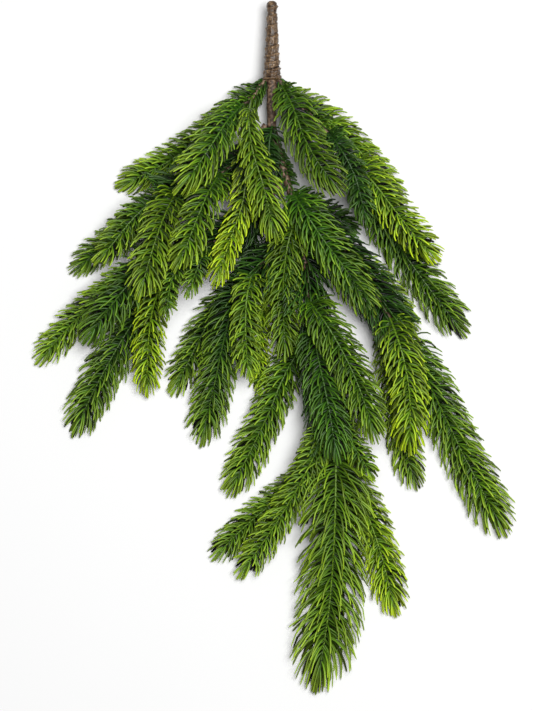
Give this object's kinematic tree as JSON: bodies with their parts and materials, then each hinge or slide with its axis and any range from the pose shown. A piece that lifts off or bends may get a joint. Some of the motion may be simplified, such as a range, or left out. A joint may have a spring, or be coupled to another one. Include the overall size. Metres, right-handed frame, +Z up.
{
  "type": "artificial spruce branch",
  "caption": "Artificial spruce spray with moulded needle sprigs on forked wired stems, bound at a tape-wrapped handle, lying flat.",
  "frame": {"origin": "on the surface the spray lies on, under the middle of its box", "axes": "+Z up from the surface, +Y towards the cut end of the taped handle, +X to the right seen from above"},
  "size_m": [0.4362, 0.623, 0.0753],
  "materials": {
    "stem_tape": "matte, wrapped floral tape with a bark print",
    "stem_bark": "matte, bark-like wire covering",
    "needles_deep": "satin moulded needles, deep green",
    "needles_mid": "satin moulded needles, mid green",
    "needles_olive": "satin moulded needles, olive green",
    "needles_light": "satin moulded needles, light green",
    "needles_yellow": "satin moulded needles, yellow green"
  },
  "bodies": {
    "root": {"taped_handle": "stem_tape", "main_stem": "stem_bark", "leader_stem": "stem_bark", "upper_left_stem": "stem_bark", "left_stem": "stem_bark", "lower_left_stem": "stem_bark", "centre_left_stem": "stem_bark", "upper_right_stem": "stem_bark", "right_stem": "stem_bark", "centre_left_sprig_1": "needles_olive", "centre_left_sprig_2": "needles_yellow", "centre_left_sprig_3": "needles_deep", "centre_left_sprig_4": "needles_yellow", "leader_sprig_1": "needles_olive", "leader_sprig_2": "needles_deep", "leader_sprig_3": "needles_light", "leader_sprig_4": "needles_light", "leader_sprig_5": "needles_light", "leader_sprig_6": "needles_deep", "leader_sprig_7": "needles_deep", "left_sprig_1": "needles_mid", "left_sprig_2": "needles_light", "left_sprig_3": "needles_light", "left_sprig_4": "needles_light", "left_sprig_5": "needles_yellow", "lower_left_sprig_1": "needles_deep", "lower_left_sprig_2": "needles_deep", "lower_left_sprig_3": "needles_olive", "lower_left_sprig_4": "needles_yellow", "lower_left_sprig_5": "needles_deep", "lower_left_sprig_6": "needles_light", "lower_left_sprig_7": "needles_light", "main_sprig_1": "needles_deep", "main_sprig_2": "needles_olive", "main_sprig_3": "needles_light", "right_sprig_1": "needles_deep", "right_sprig_2": "needles_deep", "right_sprig_3": "needles_olive", "right_sprig_4": "needles_mid", "right_sprig_5": "needles_deep", "right_sprig_6": "needles_yellow", "upper_left_sprig_1": "needles_deep", "upper_left_sprig_2": "needles_light", "upper_left_sprig_3": "needles_light", "upper_right_sprig_1": "needles_mid", "upper_right_sprig_2": "needles_deep", "upper_right_sprig_3": "needles_yellow", "upper_right_sprig_4": "needles_deep", "upper_right_sprig_5": "needles_light"}
  },
  "joints": []
}
